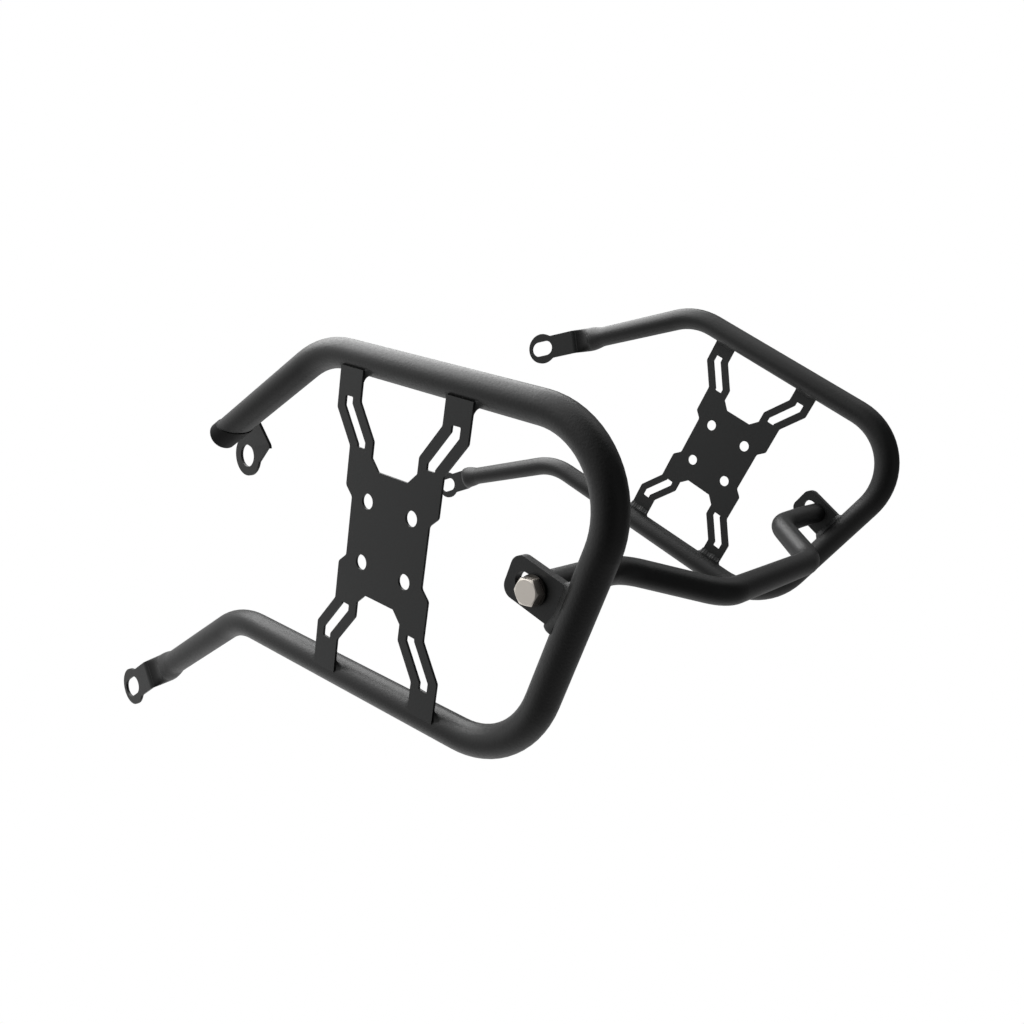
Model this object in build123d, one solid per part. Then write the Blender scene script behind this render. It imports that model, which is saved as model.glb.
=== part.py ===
from build123d import *
import os
from math import atan2, cos, degrees, hypot, radians, sin, tan

# Pair of motorbike pannier frames: two bent tube loops, each with a slotted bag plate, joined behind the tail
# by a cross tube that is bolted to a slotted bracket on each loop.
# X is forward, Y is to the rider's left and Z is up, in millimetres. The pieces are laid out about the line
# through both rear brackets (X = 0, near Z = 0) and the middle of the bike (Y = 0), and are shifted at the
# end so that the origin is the centre of the left upper eye.

# Tube stock
tube_diameter = 18.0
tube_wall = 2.0
front_upper_bend_radius = 58.0
rear_upper_bend_radius = 48.0
rear_lower_bend_radius = 54.0
front_lower_bend_radius = 60.0
cross_tube_diameter = 16.0
cross_tube_wall = 2.0
cross_bend_radius = 30.0

# Corners of a loop, where its straight runs would meet, and its plane's distance from the middle
loop_plane = 183.0
top_rail_z = 87.3
top_rail_front_x = 180.7
top_rail_rear_x = -43.0
low_rail_rear_x = -5.1
low_rail_rear_z = -93.3
low_rail_front_x = 245.5
low_rail_front_z = -110.4

# Arms that run forward and down from the loop to the bike
upper_arm_drop_deg = 37.9
upper_arm_splay_deg = 1.8
left_upper_arm_length = 122.5
right_upper_arm_length = 114.0
lower_arm_drop_deg = 40.1
lower_arm_length = 119.0

# Domed caps that close three of the tube ends
cap_dome_height = 3.5
cap_spigot_length = 8.0
cap_fit = 0.05

# Push-on boot over the left upper tube end, with a slanted mouth
boot_wall = 0.5
boot_dome_height = 6.0
boot_length = 15.5
boot_mouth_outward_deg = 25.6
boot_mouth_upward_deg = 39.0

# Eye tabs, cut and folded from sheet
tab_thickness = 2.0
tab_width = 21.5
tab_fold_radius = 5.0
tab_seat_length = 7.0
tab_seat_corner_radius = 6.0
tab_root_length = 2.0
eye_radius = 14.4
eye_slot_width = 14.0
eye_slot_travel = 8.0
eye_waist_radius = 4.0
upper_eye_ahead = 19.4
upper_eye_inward = 33.6
upper_eye_below = 20.4
right_tab_drop_deg = 40.0
right_eye_along = 48.4
right_eye_inward = 17.0
right_tab_knee_along = 14.7
right_tab_knee_inward = 10.9
left_lower_tab_drop_deg = 41.6
right_lower_tab_drop_deg = 46.3
lower_eye_along = 44.3
lower_eye_outward = 10.5
lower_tab_knee_along = 14.3
lower_tab_knee_outward = 10.2

# Left upper tab, a strap folded twice from the eye up to the inner side of the tube
strap_eye_radius = 14.7
strap_bore_radius = 8.2
strap_waist_deg = 22.3
strap_slope_deg = 17.0
strap_fold_above_eye = 5.6
strap_shoulder_above_eye = 26.0
strap_lean_deg = 23.8
strap_rear_reach = 28.5
strap_front_reach = 2.4
strap_flange_width = 14.0
strap_flange_fall = 10.0

# Bag plate, laser cut and welded to the loop by its four arms
plate_thickness = 1.5
plate_centre_x = 102.2
plate_centre_z = -6.3
plate_tilt_deg = -1.2
plate_waist_half = 31.5
plate_waist_half_height = 17.5
plate_shoulder_half = 37.5
plate_shoulder_from = 23.0
plate_shoulder_to = 46.0
plate_arm_outer = 51.5
plate_arm_from = 65.5
plate_arm_width = 19.0
plate_top_arm_setback = 5.2
plate_low_arm_setback = 2.7
plate_notch_z = 36.3
plate_notch_chamfer = 6.5
plate_corner_radius = 3.0
plate_hole_pitch = 36.0
plate_hole_diameter = 9.0
plate_slot_width = 6.5
plate_slot_corner_radius = 0.8
plate_slot_end_leg = 1.511
plate_slot_outer_z = 73.3

# Bracket on the rear leg and the bolted joint
bracket_thickness = 5.0
bracket_outer_offset = 4.6
bracket_width = 23.5
bracket_front_reach = 18.0
bracket_corner_radius = 6.5
bracket_slot_width = 10.5
bracket_slot_forward = 7.4
bracket_slot_back = 2.8
clamp_z = 1.4
bolt_diameter = 8.0
bolt_length = 25.0
bolt_head_across_flats = 13.0
bolt_head_height = 5.3
bolt_head_chamfer = 0.7
bolt_head_turn_deg = 8.7
washer_diameter = 16.0
washer_thickness = 1.6
washer_bore = 8.4
thread_plug_length = 30.0
thread_clearance = 0.05

# Cross tube: it leaves each bolt straight inwards, is set down by a slight crank, then sweeps back and
# inwards to a straight middle
cross_crank_y = 150.0
cross_turn_y = 110.2
cross_back_y = 64.3
cross_back_x = -43.9
cross_back_z = -7.4

# The right frame hangs swung about its clamp bolt; zero is the mirror image of the left one
right_frame_swing_deg = -18.5


def arm_point(corner_x, corner_z, drop_deg, splay_deg, along):
    """Point on an arm's axis, a distance along it from the corner where it leaves the loop."""
    flat = along * cos(radians(splay_deg))
    return Vector(
        corner_x + flat * cos(radians(drop_deg)),
        loop_plane + along * sin(radians(splay_deg)),
        corner_z - flat * sin(radians(drop_deg)),
    )


def upper_arm_point(along):
    """Point on the upper arm's axis."""
    return arm_point(top_rail_front_x, top_rail_z, upper_arm_drop_deg, upper_arm_splay_deg, along)


def lower_arm_point(along):
    """Point on the lower arm's axis."""
    return arm_point(low_rail_front_x, low_rail_front_z, lower_arm_drop_deg, 0.0, along)


def loop_path(upper_arm_length):
    """Axis of one loop, from the upper arm's end round the rear to the lower arm's end."""
    corners = [
        upper_arm_point(upper_arm_length),
        Vector(top_rail_front_x, loop_plane, top_rail_z),
        Vector(top_rail_rear_x, loop_plane, top_rail_z),
        Vector(low_rail_rear_x, loop_plane, low_rail_rear_z),
        Vector(low_rail_front_x, loop_plane, low_rail_front_z),
        lower_arm_point(lower_arm_length),
    ]
    bend_radii = (
        front_upper_bend_radius,
        rear_upper_bend_radius,
        rear_lower_bend_radius,
        front_lower_bend_radius,
    )
    return FilletPolyline(*corners, radius=bend_radii)


def swept_bar(path, diameter):
    """Round bar along a path."""
    start = Plane(origin=path @ 0, z_dir=path % 0)
    return sweep(start * Circle(diameter / 2), path=path)


def bent_tube(path, diameter, wall):
    """Round tube along a path, open at both ends."""
    return swept_bar(path, diameter) - swept_bar(path, diameter - 2 * wall)


def end_plane(point, inner_point):
    """Plane across a tube's end, with its normal pointing out of the tube."""
    return Plane(origin=point, x_dir=(0, 1, 0), z_dir=point - inner_point)


def end_cap(plane):
    """Domed cap: a spherical dome as wide as the tube on a spigot that fits the tube's bore."""
    radius = tube_diameter / 2
    spigot = radius - tube_wall - cap_fit
    foot = Polyline(
        (radius, 0), (spigot, 0), (spigot, -cap_spigot_length), (0, -cap_spigot_length), (0, cap_dome_height)
    )
    dome = TangentArc((0, cap_dome_height), (radius, 0), tangent=(1, 0))
    return plane * revolve(Plane.XZ * make_face([foot, dome]), Axis.Z)


def end_boot(plane):
    """Boot over a tube's end: a thin sleeve with a slanted mouth, closed by a dome."""
    inner = tube_diameter / 2
    outer = inner + boot_wall
    outward_slope = tan(radians(boot_mouth_outward_deg))
    upward_slope = tan(radians(boot_mouth_upward_deg))
    sleeve_length = boot_length + outer * (outward_slope + upward_slope)
    wall = Polyline(
        (outer, 0),
        (outer, -sleeve_length),
        (inner, -sleeve_length),
        (inner, 0),
        (0, 0),
        (0, boot_dome_height),
    )
    dome = TangentArc((0, boot_dome_height), (outer, 0), tangent=(1, 0))
    boot = plane * revolve(Plane.XZ * make_face([wall, dome]), Axis.Z)
    upward = plane.z_dir.cross(plane.x_dir)
    mouth = Plane(
        origin=plane.origin - plane.z_dir * boot_length,
        z_dir=plane.z_dir - plane.x_dir * outward_slope - upward * upward_slope,
    )
    return split(boot, bisect_by=mouth, keep=Keep.TOP)


def tab_eye(root, drop_deg, along, out):
    """Centre of a folded tab's eye, from the middle of the tube's end."""
    return root + Vector(along * cos(radians(drop_deg)), out, -along * sin(radians(drop_deg)))


def folded_tab(root, eye, knee_along, knee_out, side, tube_bar):
    """Tab from a tube's mid plane, folded sideways to an eye; side is 1 for outwards and -1 for inwards."""
    run = hypot(eye.X - root.X, eye.Z - root.Z)
    forward = Vector((eye.X - root.X) / run, 0, (eye.Z - root.Z) / run)
    out = Vector(0, side, 0)
    eye_out = side * (eye.Y - root.Y)
    frame = Plane(origin=root, x_dir=forward, z_dir=forward.cross(out))
    path = FilletPolyline(
        (-tab_seat_length, 0),
        (tab_root_length, 0),
        (knee_along, knee_out),
        (run, eye_out),
        radius=tab_fold_radius,
    )
    strip = extrude(frame * trace(path, line_width=tab_thickness), amount=tab_width / 2, both=True)
    seat = root - forward * tab_seat_length
    seat_corners = strip.edges().filter_by(Axis.Y).sort_by(lambda e: (e.center() - seat).length)[:2]
    strip = fillet(seat_corners, tab_seat_corner_radius)
    last = forward * (run - knee_along) + out * (eye_out - knee_out)
    face = Plane(origin=eye, x_dir=last, z_dir=last.cross(frame.z_dir))
    fold = atan2(knee_out, knee_along - tab_root_length) - atan2(eye_out - knee_out, run - knee_along)
    flat = last.length - tab_fold_radius * tan(abs(fold) / 2)
    outline = Pos(-flat / 2, 0) * Rectangle(flat, tab_width) + Circle(eye_radius)
    waist = outline.vertices().sort_by(Axis.X)[2:4]
    eye_plate = face * extrude(fillet(waist, eye_waist_radius), amount=tab_thickness / 2, both=True)
    oblong = SlotCenterToCenter(eye_slot_travel, eye_slot_width)
    slot = face * extrude(oblong, amount=tab_thickness, both=True)
    return strip + eye_plate - slot - tube_bar


def strap_tab(eye, tube_bar):
    """Strap folded twice: eye plate along the frame's side, a leaning web and a flange to the tube's side."""
    along = Vector(cos(radians(strap_slope_deg)), 0, -sin(radians(strap_slope_deg)))
    face = Plane(origin=eye, x_dir=along, z_dir=(0, -1, 0))
    waist_x = strap_eye_radius * cos(radians(strap_waist_deg))
    waist_y = strap_eye_radius * sin(radians(strap_waist_deg))
    neck = Polygon(
        (-strap_rear_reach, strap_fold_above_eye),
        (strap_front_reach, strap_fold_above_eye),
        (0, -waist_y),
        (-waist_x, -waist_y),
        align=None,
    )
    plate = face * extrude(neck + Circle(strap_eye_radius), amount=tab_thickness / 2, both=True)
    web_height = strap_shoulder_above_eye - strap_fold_above_eye
    lean = web_height * tan(radians(strap_lean_deg))
    reach = loop_plane - eye.Y
    section = Plane(origin=eye - along * strap_rear_reach, x_dir=(0, 1, 0), z_dir=along)
    path = FilletPolyline(
        (0, strap_fold_above_eye - tab_fold_radius * tan(radians(strap_lean_deg))),
        (0, strap_fold_above_eye),
        (lean, strap_shoulder_above_eye),
        (reach, strap_shoulder_above_eye - strap_flange_fall),
        radius=tab_fold_radius,
    )
    strip = extrude(section * trace(path, line_width=tab_thickness), amount=strap_flange_width)
    web_plane = Plane(
        origin=eye + face.y_dir * strap_fold_above_eye,
        x_dir=along,
        z_dir=along.cross(face.y_dir * web_height + Vector(0, lean, 0)),
    )
    flange_front = strap_flange_width - strap_rear_reach
    gusset = Polygon((flange_front, 0), (strap_front_reach, 0), (flange_front, web_height), align=None)
    web = web_plane * extrude(gusset, amount=tab_thickness / 2, both=True)
    bore = face * extrude(Circle(strap_bore_radius), amount=tab_thickness, both=True)
    return plate + strip + web - bore - tube_bar


def bag_plate(loop_bar):
    """Plate with four cranked arms, each with a cranked slot, and four holes round its middle."""
    slant = atan2(plate_arm_outer - plate_shoulder_half, plate_arm_from - plate_shoulder_to)
    crank = plate_arm_width * tan(slant / 2)
    arm_end = top_rail_z - low_rail_front_z
    quarter = [
        (plate_waist_half, plate_waist_half_height),
        (plate_shoulder_half, plate_shoulder_from),
        (plate_shoulder_half, plate_shoulder_to),
        (plate_arm_outer, plate_arm_from),
        (plate_arm_outer, arm_end),
        (plate_arm_outer - plate_arm_width, arm_end),
        (plate_arm_outer - plate_arm_width, plate_arm_from + crank),
        (plate_shoulder_half - plate_arm_width, plate_shoulder_to + crank),
        (plate_shoulder_half - plate_arm_width, plate_notch_z),
    ]
    outline = []
    for sx, sz, order in ((1, 1, 1), (-1, 1, -1), (-1, -1, 1), (1, -1, -1)):
        outline += [(sx * x, sz * z) for x, z in quarter[::order]]
    sheet = make_face(Polyline(*outline, close=True))
    corners = sheet.vertices().filter_by(lambda v: abs(v.Y) < arm_end - plate_corner_radius)
    bends = corners.filter_by(lambda v: abs(v.Y) != plate_notch_z)
    sheet = fillet(bends, plate_corner_radius)
    notch = sheet.vertices().filter_by(lambda v: abs(v.Y) == plate_notch_z)
    sheet = chamfer(notch, plate_notch_chamfer)
    slot = []
    slot_outer_lift = (plate_arm_width - plate_slot_width) / 2 * tan(slant / 2)
    slot_inner_z = plate_shoulder_to + slot_outer_lift - plate_slot_end_leg
    for side, order in ((1, 1), (-1, -1)):
        across = (plate_arm_width - side * plate_slot_width) / 2
        lift = across * tan(slant / 2)
        edge = [
            (plate_arm_outer - across, plate_slot_outer_z),
            (plate_arm_outer - across, plate_arm_from + lift),
            (plate_shoulder_half - across, plate_shoulder_to + lift),
            (plate_shoulder_half - across, slot_inner_z),
        ]
        slot += edge[::order]
    for sx, sz in ((1, 1), (-1, 1), (-1, -1), (1, -1)):
        opening = make_face(Polyline(*[(sx * x, sz * z) for x, z in slot], close=True))
        sheet -= fillet(opening.vertices(), plate_slot_corner_radius)
        sheet -= Pos(sx * plate_hole_pitch / 2, sz * plate_hole_pitch / 2) * Circle(plate_hole_diameter / 2)
    tilt = radians(plate_tilt_deg)
    plane = Plane(
        origin=(plate_centre_x, loop_plane + tube_diameter / 2, plate_centre_z),
        x_dir=(cos(tilt), 0, sin(tilt)),
        z_dir=(0, -1, 0),
    )
    plate = plane * extrude(sheet, amount=plate_thickness)
    return (plate & between_rails(plate_top_arm_setback, plate_low_arm_setback)) - loop_bar


def stadium(a, b, width):
    """Slot outline from one end arc's centre to the other's."""
    middle = Pos((a[0] + b[0]) / 2, (a[1] + b[1]) / 2)
    turn = Rot(0, 0, degrees(atan2(b[1] - a[1], b[0] - a[0])))
    return middle * turn * SlotCenterToCenter(hypot(b[0] - a[0], b[1] - a[1]), width)


def between_rails(top_setback, low_setback):
    """Slab between the top and low rails' axes, less a setback from each."""
    slope = (low_rail_front_z - low_rail_rear_z) / (low_rail_front_x - low_rail_rear_x)
    lift = low_setback * hypot(1, slope)
    region = make_face(
        Polyline(
            (low_rail_rear_x, low_rail_rear_z + lift),
            (low_rail_front_x, low_rail_front_z + lift),
            (low_rail_front_x, top_rail_z - top_setback),
            (low_rail_rear_x, top_rail_z - top_setback),
            close=True,
        )
    )
    side = Plane(origin=(0, loop_plane, 0), x_dir=(1, 0, 0), z_dir=(0, -1, 0))
    return extrude(side * region, amount=tube_diameter, both=True)


def leg_forward():
    """Direction square to the rear leg, pointing forward, and the bracket centre's distance from the leg."""
    length = hypot(low_rail_rear_x - top_rail_rear_x, low_rail_rear_z - top_rail_z)
    forward = Vector((top_rail_z - low_rail_rear_z) / length, 0, (low_rail_rear_x - top_rail_rear_x) / length)
    return forward, forward.dot(Vector(-top_rail_rear_x, 0, clamp_z - top_rail_z))


def rear_bracket(loop_bar):
    """Plate welded edge-on to the front of the rear leg, with a slot for the clamp bolt."""
    forward, leg_distance = leg_forward()
    blank = make_face(
        Polyline(
            (-leg_distance, -bracket_width / 2),
            (bracket_front_reach, -bracket_width / 2),
            (bracket_front_reach, bracket_width / 2),
            (-leg_distance, bracket_width / 2),
            close=True,
        )
    )
    blank = fillet(blank.vertices().sort_by(Axis.X)[2:], bracket_corner_radius)
    blank -= stadium((-bracket_slot_back, 0), (bracket_slot_forward, 0), bracket_slot_width)
    face = Plane(origin=(0, loop_plane + bracket_outer_offset, clamp_z), x_dir=forward, z_dir=(0, -1, 0))
    return face * extrude(blank, amount=bracket_thickness) - loop_bar


def bolt_plane(y):
    """Plane across the clamp bolt's axis, with its normal pointing outwards."""
    return Plane(origin=(0, y, clamp_z), x_dir=(1, 0, 0), z_dir=(0, 1, 0))


def clamp_bolt(seat_y):
    """Hexagon head bolt, its head's corners chamfered; the thread is left as a plain shank."""
    corner_radius = bolt_head_across_flats / 2 / cos(radians(30))
    hexagon = RegularPolygon(bolt_head_across_flats / 2, 6, major_radius=False, rotation=bolt_head_turn_deg)
    head = extrude(hexagon, amount=bolt_head_height)
    turned = Cylinder(corner_radius, bolt_head_height, align=(Align.CENTER, Align.CENTER, Align.MIN))
    rim = turned.edges().sort_by(Axis.Z)[-1]
    turned = chamfer(rim, bolt_head_chamfer, bolt_head_chamfer * 2)
    shank = Cylinder(bolt_diameter / 2, bolt_length, align=(Align.CENTER, Align.CENTER, Align.MAX))
    return bolt_plane(seat_y) * ((head & turned) + shank)


def ring(y, outer_diameter, bore, length):
    """Plain ring about the clamp bolt's axis, from y inwards."""
    section = Circle(outer_diameter / 2) - Circle(bore / 2)
    return bolt_plane(y) * extrude(section, amount=-length)


def cross_path(end_y):
    """Axis of the cross tube from the left bolt to the right one."""
    left = [
        Vector(0, end_y, clamp_z),
        Vector(0, cross_crank_y, clamp_z),
        Vector(0, cross_turn_y, 0),
        Vector(cross_back_x, cross_back_y, cross_back_z),
    ]
    right = [Vector(p.X, -p.Y, p.Z) for p in reversed(left)]
    return FilletPolyline(*left, *right, radius=cross_bend_radius)


def right_side(piece):
    """Mirror image of a left piece."""
    return mirror(piece, about=Plane.XZ)


def right_frame(piece):
    """Mirror image of a piece of the left frame, swung about the clamp bolt."""
    return Pos(0, 0, clamp_z) * Rot(0, right_frame_swing_deg, 0) * Pos(0, 0, -clamp_z) * right_side(piece)


bracket_outer_y = loop_plane + bracket_outer_offset
bracket_inner_y = bracket_outer_y - bracket_thickness
left_upper_root = upper_arm_point(left_upper_arm_length)
upper_eye = left_upper_root + Vector(upper_eye_ahead, -upper_eye_inward, -upper_eye_below)
lower_root = lower_arm_point(lower_arm_length)
lower_eye = tab_eye(lower_root, left_lower_tab_drop_deg, lower_eye_along, lower_eye_outward)
left_path = loop_path(left_upper_arm_length)
left_bar = swept_bar(left_path, tube_diameter)
lower_tab = folded_tab(lower_root, lower_eye, lower_tab_knee_along, lower_tab_knee_outward, 1, left_bar)
lower_cap = end_cap(end_plane(lower_root, lower_arm_point(0))) - lower_tab
left_upper_tab = strap_tab(upper_eye, left_bar)
left_upper_boot = end_boot(end_plane(left_upper_root, upper_arm_point(0))) - left_upper_tab

right_path = loop_path(right_upper_arm_length)
right_bar = swept_bar(right_path, tube_diameter)
right_upper_root = upper_arm_point(right_upper_arm_length)
right_upper_eye = tab_eye(right_upper_root, right_tab_drop_deg, right_eye_along, -right_eye_inward)
right_upper_tab = folded_tab(
    right_upper_root, right_upper_eye, right_tab_knee_along, right_tab_knee_inward, -1, right_bar
)
right_upper_cap = end_cap(end_plane(right_upper_root, upper_arm_point(0))) - right_upper_tab
right_lower_eye = tab_eye(lower_root, right_lower_tab_drop_deg, lower_eye_along, lower_eye_outward)
right_lower_tab = folded_tab(
    lower_root, right_lower_eye, lower_tab_knee_along, lower_tab_knee_outward, 1, right_bar
)
right_lower_cap = end_cap(end_plane(lower_root, lower_arm_point(0))) - right_lower_tab

plate = bag_plate(left_bar)
bracket = rear_bracket(left_bar)
bolt = clamp_bolt(bracket_outer_y + washer_thickness)
washer = ring(bracket_outer_y + washer_thickness, washer_diameter, washer_bore, washer_thickness)
thread_plug = ring(
    bracket_inner_y,
    cross_tube_diameter - 2 * (cross_tube_wall + cap_fit),
    bolt_diameter + 2 * thread_clearance,
    thread_plug_length,
)

pieces = {
    "left_frame_tube": bent_tube(left_path, tube_diameter, tube_wall),
    "left_bag_plate": plate,
    "left_rear_bracket": bracket,
    "left_upper_end_boot": left_upper_boot,
    "left_upper_tab": left_upper_tab,
    "left_lower_end_cap": lower_cap,
    "left_lower_tab": lower_tab,
    "left_clamp_bolt": bolt,
    "left_clamp_washer": washer,
    "left_thread_plug": thread_plug,
    "right_frame_tube": right_frame(bent_tube(right_path, tube_diameter, tube_wall)),
    "right_bag_plate": right_frame(plate),
    "right_rear_bracket": right_frame(bracket),
    "right_upper_end_cap": right_frame(right_upper_cap),
    "right_upper_tab": right_frame(right_upper_tab),
    "right_lower_end_cap": right_frame(right_lower_cap),
    "right_lower_tab": right_frame(right_lower_tab),
    "right_clamp_bolt": right_side(bolt),
    "right_clamp_washer": right_side(washer),
    "right_thread_plug": right_side(thread_plug),
    "cross_tube": bent_tube(cross_path(bracket_inner_y), cross_tube_diameter, cross_tube_wall),
}

os.makedirs("parts", exist_ok=True)
datum = Pos(-upper_eye.X, -upper_eye.Y, -upper_eye.Z)
for name, piece in pieces.items():
    export_step(datum * piece, f"parts/{name}.step")
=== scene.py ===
import bpy
import numpy as np
from mathutils import Matrix, Vector


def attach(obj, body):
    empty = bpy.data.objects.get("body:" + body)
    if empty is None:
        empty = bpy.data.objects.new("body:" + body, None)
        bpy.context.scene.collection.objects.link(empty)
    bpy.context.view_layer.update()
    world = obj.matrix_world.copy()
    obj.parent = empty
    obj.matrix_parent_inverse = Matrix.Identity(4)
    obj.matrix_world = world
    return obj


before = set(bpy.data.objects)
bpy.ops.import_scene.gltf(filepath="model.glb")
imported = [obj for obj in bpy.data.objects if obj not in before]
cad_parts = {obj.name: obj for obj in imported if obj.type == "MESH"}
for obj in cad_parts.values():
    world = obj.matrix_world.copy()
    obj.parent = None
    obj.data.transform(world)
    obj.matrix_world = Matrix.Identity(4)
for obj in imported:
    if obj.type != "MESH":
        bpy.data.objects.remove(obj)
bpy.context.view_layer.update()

# Frame tubes: one bent loop of round mild steel tube a side, cold bent on a former.
# The loops are welded up with their plates, brackets and tabs, then blasted and powder coated satin black.


def linear(hex_colour):
    """sRGB hex to linear: a channel c is c / 12.92 up to 0.04045, else ((c + 0.055) / 1.055) ** 2.4."""
    c = np.array([int(hex_colour[i:i + 2], 16) for i in (1, 3, 5)]) / 255
    return (*np.where(c <= 0.04045, c / 12.92, ((c + 0.055) / 1.055) ** 2.4).tolist(), 1.0)


def add(tree, kind, inputs=None, **settings):
    """Adds a node, sets its properties, and fills each named input with a value or a link from a socket."""
    made = tree.nodes.new(kind)
    for name, value in settings.items():
        setattr(made, name, value)
    for name, value in (inputs or {}).items():
        if isinstance(value, bpy.types.NodeSocket):
            tree.links.new(value, made.inputs[name])
        else:
            made.inputs[name].default_value = value
    return made


def bare_material(name):
    """A new material with its empty node tree, and the object's own coordinates to lay a pattern out by."""
    material = bpy.data.materials.new(name)
    material.use_nodes = True
    tree = material.node_tree
    tree.nodes.clear()
    return material, tree, add(tree, "ShaderNodeTexCoord").outputs["Object"]


def powder_coat(name, base_hex, thin_hex, grain_mm, grain_depth_mm, roughness):
    """Satin black polyester powder coat: cured grains leave a fine texture that breaks up the highlights.

    Two octaves of noise at the grain's size give the bump and sway the roughness. A slow noise shifts the
    colour from base to thin.
    """
    cloud_mm = 60
    sway = 0.05
    material, tree, place = bare_material(name)
    grain = add(tree, "ShaderNodeTexNoise", {
        "Vector": place, "Scale": 1000 / grain_mm, "Detail": 2.0, "Roughness": 0.6})
    cloud = add(tree, "ShaderNodeTexNoise", {
        "Vector": place, "Scale": 1000 / cloud_mm, "Detail": 3.0, "Roughness": 0.55})
    tone = add(tree, "ShaderNodeMix", {
        "Factor": cloud.outputs["Fac"], "A": linear(base_hex), "B": linear(thin_hex)}, data_type="RGBA")
    rough = add(tree, "ShaderNodeMapRange", {
        "Value": grain.outputs["Fac"], "From Min": 0.3, "From Max": 0.7,
        "To Min": roughness - sway, "To Max": roughness + sway})
    bump = add(tree, "ShaderNodeBump", {
        "Height": grain.outputs["Fac"], "Distance": grain_depth_mm / 1000, "Strength": 1.0})
    shader = add(tree, "ShaderNodeBsdfPrincipled", {
        "Base Color": tone.outputs["Result"], "Roughness": rough.outputs["Result"],
        "Normal": bump.outputs["Normal"], "IOR": 1.5})
    add(tree, "ShaderNodeOutputMaterial", {"Surface": shader.outputs["BSDF"]})
    return material


def dress(names, material):
    """Gives CAD nodes one material."""
    for name in names:
        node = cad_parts[name]
        node.data.materials.clear()
        node.data.materials.append(material)


# Real grains are about 0.2 mm across; they are drawn at 1.3 mm so that they show at this distance.
black_coat = powder_coat("black_powder_coat", "#0c0c0c", "#121313", 1.3, 0.11, 0.41)
dress(["left_frame_tube", "right_frame_tube"], black_coat)

# Bag plates: laser cut steel sheet with four cranked arms, each with a cranked slot.
# The arms' ends are welded flush to the loop. The coat is the tubes' own, but lies flatter on sheet, and
# its grains are drawn coarse here too.
sheet_coat = powder_coat("black_powder_coat_on_sheet", "#191a1a", "#1e1f1f", 0.9, 0.025, 0.48)
dress(["left_bag_plate", "right_bag_plate"], sheet_coat)

# Rear brackets: thick steel plates with round corners, each cut with a slot for the clamp bolt.
# They are welded edge-on to the front of each rear leg and coated with the loop.
dress(["left_rear_bracket", "right_rear_bracket"], sheet_coat)

# End caps and eye tabs: pressed steel domes close three of the tube ends.
# Folded steel straps with an eye are welded to all four ends and bolt to the bike.
dress(["left_lower_end_cap", "right_upper_end_cap", "right_lower_end_cap"], black_coat)
dress([f"{side}_{level}_tab" for side in ("left", "right") for level in ("upper", "lower")], sheet_coat)

# End boot: moulded black rubber, pushed over the left upper tube end.
# It is duller and darker than the coat about it.


def moulded_rubber(name, base_hex, skin_mm, skin_depth_mm, roughness):
    """Dull rubber: a plain dark base with little shine, which a shallow noise bump breaks up.

    A mould's skin is finer than 1 mm and is drawn coarser, so that it shows at this distance.
    """
    material, tree, place = bare_material(name)
    skin = add(tree, "ShaderNodeTexNoise", {
        "Vector": place, "Scale": 1000 / skin_mm, "Detail": 2.0, "Roughness": 0.5})
    bump = add(tree, "ShaderNodeBump", {
        "Height": skin.outputs["Fac"], "Distance": skin_depth_mm / 1000, "Strength": 1.0})
    shader = add(tree, "ShaderNodeBsdfPrincipled", {
        "Base Color": linear(base_hex), "Roughness": roughness, "Specular IOR Level": 0.12,
        "Normal": bump.outputs["Normal"]})
    add(tree, "ShaderNodeOutputMaterial", {"Surface": shader.outputs["BSDF"]})
    return material


rubber = moulded_rubber("black_rubber", "#050505", 2.0, 0.02, 0.5)
dress(["left_upper_end_boot"], rubber)

# Weld beads: steel laid down by MIG welding under the coat, slightly wavy where each drop set.
# They run round the root of each bracket on its rear leg, with a lump at the lower end. Hollow ones run
# behind the ends of the plates' arms, where plate and rail meet.

# Places in mm, laid out on the left frame: X ahead of the clamp bolts, Y from the bike's middle, Z up.
eye_mm = np.array([296.715, 153.248, -8.313])
clamp_mm = np.array([0.0, 0.0, 1.4])
right_swing = np.radians(-18.5)
tube_radius_mm = 9.0
loop_y_mm = 183.0
loop_mm = {corner: np.array([x, loop_y_mm, z]) for corner, x, z in (
    ("top_rear", -43.0, 87.3), ("top_front", 180.7, 87.3),
    ("low_rear", -5.1, -93.3), ("low_front", 245.5, -110.4))}


def on_side(side, points_mm):
    """Layout points from the left upper eye; the right side's are mirrored and swung about the bolts."""
    points = np.array(points_mm)
    if side == "right":
        x, y, z = (points - clamp_mm).T
        cos, sin = np.cos(right_swing), np.sin(right_swing)
        points = np.stack([cos * x + sin * z, -y, cos * z - sin * x], -1) + clamp_mm
    return points - eye_mm


def add_weld(name, side, grid_mm, ring, inside_out, coat):
    """Makes a weld from a grid of layout points whose second direction closes on itself.

    A ring closes in the first direction too, and any other weld has a flat cap at each end. Faces that
    would point inwards are turned round.
    """
    count, around = grid_mm.shape[:2]
    index = np.arange(count * around).reshape(count, around)
    here = index if ring else index[:-1]
    ahead = np.roll(index, -1, axis=0) if ring else index[1:]
    quads = np.stack([here, np.roll(here, -1, axis=1), np.roll(ahead, -1, axis=1), ahead], -1)
    faces = quads.reshape(-1, 4).tolist()
    if not ring:
        faces += [index[0, ::-1].tolist(), index[-1].tolist()]
    if inside_out:
        faces = [face[::-1] for face in faces]
    mesh = bpy.data.meshes.new(name)
    mesh.from_pydata((on_side(side, grid_mm.reshape(-1, 3)) / 1000).tolist(), [], faces)
    mesh.polygons.foreach_set("use_smooth", [len(face) == 4 for face in faces])
    mesh.materials.append(coat)
    weld = bpy.data.objects.new(name, mesh)
    bpy.context.scene.collection.objects.link(weld)
    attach(weld, "root")


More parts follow.
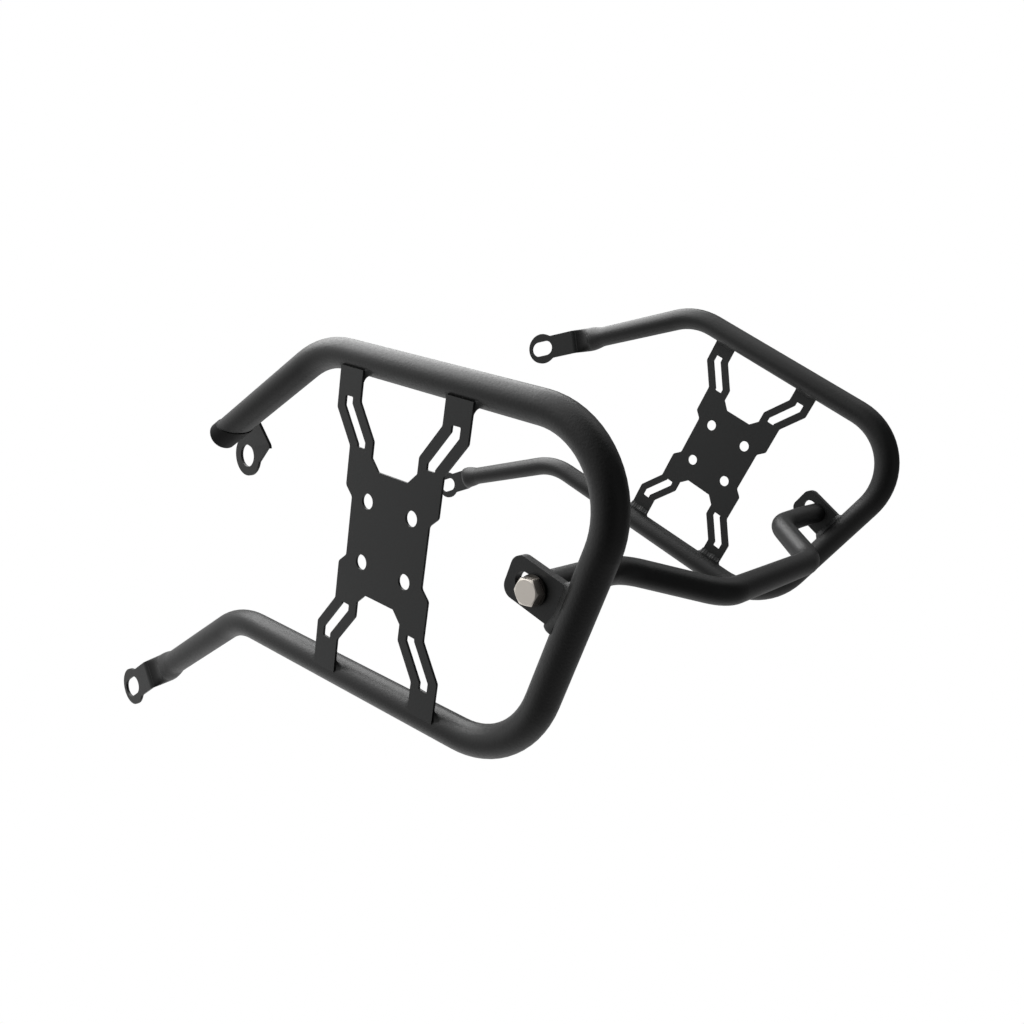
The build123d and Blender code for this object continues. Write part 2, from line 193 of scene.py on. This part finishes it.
def weld_stations(corners, ring):
    """Rows along a weld's path, each with a corner's values and the angle that points away from the plate.

    Straight runs join the corners, values and all, in even steps. At each bend the angle turns in a fan.
    """
    step_mm, fewest_steps, bend_steps = 0.5, 4, 9
    starts = np.asarray(corners, float)
    ends = np.roll(starts, -1, axis=0)
    if not ring:
        starts, ends = starts[:-1], ends[:-1]
    angles = np.arctan2((starts - ends)[:, 0], (ends - starts)[:, 1])
    angles = np.unwrap(np.append(angles, angles[0]) if ring else angles)
    stations = []
    for k, (start, end) in enumerate(zip(starts, ends)):
        steps = max(int(np.hypot(*(end - start)[:2]) / step_mm), fewest_steps)
        run = start + np.linspace(0, 1, steps + 1)[:, None] * (end - start)
        stations.append(np.c_[run, np.full(len(run), angles[k])])
        if k + 1 == len(angles):
            break
        if np.isclose(angles[k], angles[k + 1]):
            stations[-1] = stations[-1][:-1]
        else:
            fan = np.linspace(angles[k], angles[k + 1], bend_steps + 1)[1:-1]
            stations.append(np.c_[np.tile(end, (len(fan), 1)), fan])
    return np.concatenate(stations)


def weld_bead(name, side, base_mm, run_dir, away_dir, corners, ring):
    """Weld in the corner between a straight tube and a plate that stands on it.

    Corners are (u, y, leg on the plate, leg on the tube, fill), with u along the tube and y across it.
    The section is a quadratic curve from the toe on the plate to the toe on the tube. Its middle point lies
    at fill of the way from the corner to the middle of the toes, and more than 1 makes it round. With s
    along the path, both legs are multiplied by 1 + 0.02 sin(2 pi s / ripple) + 0.05 sin(2 pi s / swell).
    """
    ripple_mm, swell_mm = 2.6, 9.3
    sunk_mm, root_depth_mm, side_clear_mm, path_offset_mm = 0.3, 1.2, 0.03, 2.0
    u, y, plate_leg, tube_leg, fill, angle = weld_stations(corners, ring).T
    out_u, out_y = np.cos(angle), np.sin(angle)
    path_u, path_y = u + path_offset_mm * out_u, y + path_offset_mm * out_y
    s = np.cumsum(np.hypot(np.diff(path_u, prepend=u[0]), np.diff(path_y, prepend=y[0])))
    wave = 1 + 0.02 * np.sin(2 * np.pi * s / ripple_mm) + 0.05 * np.sin(2 * np.pi * s / swell_mm)
    height = np.sqrt(tube_radius_mm ** 2 - y ** 2)
    farthest_y = tube_radius_mm - side_clear_mm
    toe_y = np.clip(y + tube_leg * wave * out_y, -farthest_y, farthest_y)
    toe_height = np.sqrt(tube_radius_mm ** 2 - toe_y ** 2) - sunk_mm
    corner = np.stack([u, y, height], -1)
    plate_toe = np.stack([u - sunk_mm * out_u, y - sunk_mm * out_y, height + plate_leg * wave], -1)
    tube_toe = np.stack([u + tube_leg * wave * out_u, toe_y, toe_height], -1)
    middle = corner + fill[:, None] * ((plate_toe + tube_toe) / 2 - corner)
    root = np.stack([u, y, height - root_depth_mm], -1)
    t = np.linspace(0, 1, 11)[:, None, None]
    curve = (1 - t) ** 2 * plate_toe + 2 * t * (1 - t) * middle + t ** 2 * tube_toe
    sections = np.concatenate([curve, root[None]]).transpose(1, 0, 2)
    axes = np.array([run_dir, (0.0, 1.0, 0.0), away_dir])
    # The right frame is a mirror image, and so is a layout whose three axes turn the other way.
    inside_out = (side == "right") != (np.linalg.det(axes) < 0)
    add_weld(name, side, base_mm + sections @ axes, ring, inside_out, sheet_coat)


def straight(start, end):
    """A straight stretch of the loop: its start, its direction, and the direction square to it, inwards."""
    run = loop_mm[end] - loop_mm[start]
    run /= np.linalg.norm(run)
    inward = np.mean(list(loop_mm.values()), axis=0) - loop_mm[start]
    inward -= (inward @ run) * run
    return loop_mm[start], run, inward / np.linalg.norm(inward)


# Round the bracket, u is measured from the clamp bolt's level on the leg.
leg_foot, leg_run, leg_inward = straight("low_rear", "top_rear")
leg_base = leg_foot + ((clamp_mm + (0.0, loop_y_mm, 0.0) - leg_foot) @ leg_run) * leg_run
half_mm, outer_y, inner_y = 11.7, 4.6, -0.4
bracket_corners = [
    (half_mm, outer_y, 2.6, 2.4, 1.3), (-3.0, outer_y, 2.2, 2.2, 1.3), (-7.0, outer_y, 3.0, 2.2, 1.6),
    (-half_mm, outer_y, 4.6, 2.6, 2.5),
    (-half_mm, inner_y, 3.2, 2.8, 1.2), (half_mm, inner_y, 3.0, 3.0, 0.7)]

# Behind the arms, u is measured from each rail's rear corner.
rails = {"top": straight("top_rear", "top_front"), "low": straight("low_rear", "low_front")}
arm_width_mm = 19.0
arm_rear_edges = {"front_top": 179.5, "rear_top": 95.5, "front_low": 138.2, "rear_low": 54.2}
edge_y, back_y = 7.9, 7.3
at_edge, behind = (4.0, 3.0, 0.4), (7.0, 4.6, 0.4)
for side in ("left", "right"):
    weld_bead(f"{side}_bracket_weld", side, leg_base, leg_run, leg_inward, bracket_corners, True)
    for arm, rear in arm_rear_edges.items():
        front = rear + arm_width_mm
        arm_corners = [
            (rear, edge_y, *at_edge), (rear, back_y, *behind),
            (front, back_y, *behind), (front, edge_y, *at_edge)]
        weld_bead(f"{side}_{arm}_arm_weld", side, *rails[arm.split("_")[1]], arm_corners, False)

# Tab welds: heavy steel welds, ground and dressed smooth before coating.
# They carry each round tube end over into the flat root of its folded tab.


def ahead_and_down(drop_deg, splay_deg=0.0):
    """Direction ahead, sunk by the drop and turned outwards by the splay."""
    drop, splay = np.radians((drop_deg, splay_deg))
    return np.array([np.cos(splay) * np.cos(drop), np.sin(splay), -np.cos(splay) * np.sin(drop)])


def tab_weld(name, side, root_mm, arm_dir, tab_dir, bend_side, knee_mm):
    """Closed loft along the tube's end and the tab's root, a superellipse at each distance s from that end.

    Sections are (s, half width, half height, exponent), averaged over 4.5 mm. The middle runs along the arm
    up to the tube's end, then along the tab, and soon climbs sideways to the tab's knee, which is given by
    its distance along the tab and sideways from it.
    """
    sections = np.array([
        (-16.0, 8.9, 8.9, 2.0), (-12.0, 9.1, 9.1, 2.0), (-7.0, 10.3, 9.15, 2.0), (-2.0, 11.0, 9.3, 2.1),
        (1.5, 11.05, 9.2, 2.2), (5.5, 11.0, 5.4, 2.6), (9.0, 10.95, 2.6, 3.5), (13.0, 10.85, 1.05, 8.0)])
    turn_from_mm, turn_over_mm = -3.0, 4.0
    tilt_from_mm, tilt_over_mm = -2.0, 10.0
    climb_from_mm = 2.0
    stations, around, span, plain_end = 59, 64, 9, 5
    s = np.linspace(sections[0, 0], sections[-1, 0], stations)

    def averaged(values):
        """Moving average over the span, with the end values held."""
        return np.convolve(np.pad(values, span // 2, "edge"), np.ones(span) / span, "valid")

    wide, high, power = (averaged(np.interp(s, sections[:, 0], sections[:, k])) for k in (1, 2, 3))
    out_dir = np.array([0.0, bend_side, 0.0])
    turned = averaged(np.clip((s - turn_from_mm) / turn_over_mm, 0, 1))
    lead = arm_dir + turned[:, None] * (tab_dir - arm_dir)
    slope = knee_mm[1] / (knee_mm[0] - climb_from_mm)
    tilt = np.arctan(slope) * averaged(np.clip((s - tilt_from_mm) / tilt_over_mm, 0, 1))
    across = np.cross(lead, out_dir)
    across /= np.linalg.norm(across, axis=1, keepdims=True)
    up = np.cos(tilt)[:, None] * out_dir - np.sin(tilt)[:, None] * lead
    rise = averaged(np.maximum(s - climb_from_mm, 0)) * slope
    rise[-plain_end:] = (s[-plain_end:] - climb_from_mm) * slope
    middle = root_mm + s[:, None] * lead + rise[:, None] * out_dir
    angle = np.linspace(0, 2 * np.pi, around, endpoint=False)
    exponent = (2 / power)[:, None]
    x = wide[:, None] * np.sign(np.cos(angle)) * np.abs(np.cos(angle)) ** exponent
    y = high[:, None] * np.sign(np.sin(angle)) * np.abs(np.sin(angle)) ** exponent
    grid = middle[:, None] + x[..., None] * across[:, None] + y[..., None] * up[:, None]
    add_weld(name, side, grid, False, side == "left", black_coat)


lower_arm_mm, right_upper_arm_mm = 119.0, 114.0
lower_arm_dir, upper_arm_dir = ahead_and_down(40.1), ahead_and_down(37.9, 1.8)
lower_end_mm = loop_mm["low_front"] + lower_arm_mm * lower_arm_dir
upper_end_mm = loop_mm["top_front"] + right_upper_arm_mm * upper_arm_dir
lower_knee_mm, upper_knee_mm = (14.3, 10.2), (14.7, 10.9)
outwards, inwards = 1.0, -1.0
for side, tab_drop_deg in (("left", 41.6), ("right", 46.3)):
    tab_weld(
        f"{side}_lower_tab_weld", side, lower_end_mm, lower_arm_dir, ahead_and_down(tab_drop_deg),
        outwards, lower_knee_mm)
tab_weld(
    "right_upper_tab_weld", "right", upper_end_mm, upper_arm_dir, ahead_and_down(40.0),
    inwards, upper_knee_mm)

# Cross tube: thinner steel tube bent back in a bow behind the tail, coated like the frames.
# A bolt at each end clamps it to the rear brackets.
dress(["cross_tube"], black_coat)

# Clamp bolts: cold forged hexagon bolts of stainless steel, pale and warm in tone, with a tumbled surface.
# They pass through the brackets' slots into the ends of the cross tube.


def tumbled_steel(name, base_hex, dent_mm, dent_depth_mm, roughness):
    """Steel as it comes from tumbling: metallic, with fine shallow dents that blur what it mirrors.

    Noise at the dents' size gives the bump and sways the roughness. Real dents are about 0.1 mm across, and
    are drawn coarser so that they show at this distance.
    """
    sway = 0.03
    material, tree, place = bare_material(name)
    dents = add(tree, "ShaderNodeTexNoise", {
        "Vector": place, "Scale": 1000 / dent_mm, "Detail": 3.0, "Roughness": 0.5})
    rough = add(tree, "ShaderNodeMapRange", {
        "Value": dents.outputs["Fac"], "From Min": 0.3, "From Max": 0.7,
        "To Min": roughness - sway, "To Max": roughness + sway})
    bump = add(tree, "ShaderNodeBump", {
        "Height": dents.outputs["Fac"], "Distance": dent_depth_mm / 1000, "Strength": 1.0})
    shader = add(tree, "ShaderNodeBsdfPrincipled", {
        "Base Color": linear(base_hex), "Metallic": 1.0, "Roughness": rough.outputs["Result"],
        "Normal": bump.outputs["Normal"]})
    add(tree, "ShaderNodeOutputMaterial", {"Surface": shader.outputs["BSDF"]})
    return material


stainless = tumbled_steel("stainless_steel", "#ece5dc", 1.2, 0.006, 0.36)
dress(["left_clamp_bolt", "right_clamp_bolt"], stainless)

# Clamp washers: plain steel washers under the bolts' heads, punched from sheet.
# They are blacked in hot oxide, with the bright metal showing through a little.
oxide = tumbled_steel("black_oxide_steel", "#3c3b3a", 0.8, 0.01, 0.4)
dress(["left_clamp_washer", "right_clamp_washer"], oxide)

# Thread plugs: turned steel inserts that take the clamp bolts, zinc plated.
# They are welded into the ends of the cross tube, where they hardly show.
zinc = tumbled_steel("zinc_plated_steel", "#b9bcbf", 1.0, 0.02, 0.38)
dress(["left_thread_plug", "right_thread_plug"], zinc)

# Studio floor: a plain sheet of white paper below the frames.
# It shows to the camera only, so that the reflectors alone light the frames from below.
floor_half, floor_z = 30.0, -0.75
floor_corners = [(-floor_half, -floor_half), (floor_half, -floor_half),
                 (floor_half, floor_half), (-floor_half, floor_half)]
floor_mesh = bpy.data.meshes.new("studio_floor")
floor_mesh.from_pydata([(x, y, floor_z) for x, y in floor_corners], [], [(0, 1, 2, 3)])
floor = bpy.data.objects.new("studio_floor", floor_mesh)
bpy.context.scene.collection.objects.link(floor)
paper = bpy.data.materials.new("white_paper")
paper.use_nodes = True
paper.node_tree.nodes.clear()
glow = add(paper.node_tree, "ShaderNodeEmission", {"Color": (1.0, 1.0, 1.0, 1.0), "Strength": 1.0})
add(paper.node_tree, "ShaderNodeOutputMaterial", {"Surface": glow.outputs["Emission"]})
floor_mesh.materials.append(paper)
floor.visible_diffuse = floor.visible_glossy = floor.visible_shadow = False

# Studio surround: white reflectors round the frames that fade out softly; the camera sees plain white.
# Each is (elevation, azimuth from ahead, sharpness k, level) and adds level * exp(k * (cos - 1)), with the
# cosine of the angle between a ray and the reflector's middle.
reflectors = [
    (40, 275, 16, 0.4), (30, 50, 10, 0.3), (50, 0, 6, 1.2), (50, 60, 6, 0.4), (12, 45, 6, 0.5),
    (12, 180, 6, 0.15), (-35, 0, 4, 0.85), (-35, 180, 4, 0.05), (-35, 270, 4, 0.3), (-90, 0, 4, 0.6)]
world = bpy.data.worlds.new("studio_surround")
bpy.context.scene.world = world
world.use_nodes = True
sky = world.node_tree
sky.nodes.clear()
ray = add(sky, "ShaderNodeTexCoord").outputs["Generated"]
light = 0.0
for elevation, azimuth, sharpness, level in reflectors:
    e, a = np.radians((elevation, azimuth))
    middle = (float(np.cos(e) * np.cos(a)), float(np.cos(e) * np.sin(a)), float(np.sin(e)))
    cosine = add(sky, "ShaderNodeVectorMath", {0: ray, 1: middle}, operation="DOT_PRODUCT").outputs["Value"]
    fall = add(sky, "ShaderNodeMath", {0: cosine, 1: sharpness, 2: -sharpness}, operation="MULTIPLY_ADD")
    lobe = add(sky, "ShaderNodeMath", {0: fall.outputs["Value"]}, operation="EXPONENT")
    total = add(sky, "ShaderNodeMath", {
        0: lobe.outputs["Value"], 1: level, 2: light}, operation="MULTIPLY_ADD")
    light = total.outputs["Value"]
seen = add(sky, "ShaderNodeLightPath").outputs["Is Camera Ray"]
strength = add(sky, "ShaderNodeMix", {"Factor": seen, "A": light, "B": 1.0}, data_type="FLOAT")
surround = add(sky, "ShaderNodeBackground", {
    "Color": (1.0, 1.0, 1.0, 1.0), "Strength": strength.outputs["Result"]})
add(sky, "ShaderNodeOutputWorld", {"Surface": surround.outputs["Background"]})

# Softboxes: rectangular lamps ahead, overhead and at the near side, all turned to the middle of the frames.
# Each is a place, width and height in metres and a radiance; a flat lamp's power is radiance * pi * area.
frames_middle = Vector((-0.15, -0.15, 0.0))
softboxes = {
    "softbox_ahead": ((0.91, -0.34, 0.9), 2.0, 1.0, 3.4),
    "softbox_overhead": ((0.0, -0.3, 1.4), 2.0, 1.0, 0.65),
    "softbox_near_side": ((1.2, 0.6, 0.8), 1.6, 0.8, 0.5)}
for name, (place, width, height, radiance) in softboxes.items():
    softbox_data = bpy.data.lights.new(name, "AREA")
    softbox_data.shape = "RECTANGLE"
    softbox_data.size, softbox_data.size_y = width, height
    softbox_data.energy = radiance * np.pi * width * height
    softbox = bpy.data.objects.new(name, softbox_data)
    facing = (Vector(place) - frames_middle).to_track_quat("Z", "Y").to_matrix().to_4x4()
    softbox.matrix_world = Matrix.Translation(place) @ facing
    bpy.context.scene.collection.objects.link(softbox)

# Camera: outside the left frame, behind and a little above it, looking ahead and across with a slight roll.
# Its focal length is in pixels of a square picture.
camera_place = (-0.51834, 0.34435, 0.14778)
view_dir = np.array([0.59578, -0.76073, -0.25754])
rough_down_dir = np.array([-0.28547, 0.09915, -0.95325])
focal_px, image_px, sensor_mm = 837.37, 1024, 36.0
view_dir /= np.linalg.norm(view_dir)
right_dir = np.cross(rough_down_dir, view_dir)
right_dir /= np.linalg.norm(right_dir)
down_dir = np.cross(view_dir, right_dir)
camera_data = bpy.data.cameras.new("camera")
camera_data.sensor_width = sensor_mm
camera_data.lens = focal_px / image_px * sensor_mm
camera_data.clip_start, camera_data.clip_end = 0.01, 200.0
camera = bpy.data.objects.new("camera", camera_data)
stand = np.eye(4)
stand[:3] = np.stack([right_dir, -down_dir, -view_dir, camera_place], -1)
camera.matrix_world = Matrix(stand.tolist())
bpy.context.scene.collection.objects.link(camera)
bpy.context.scene.camera = camera
bpy.context.scene.view_settings.view_transform = "Standard"
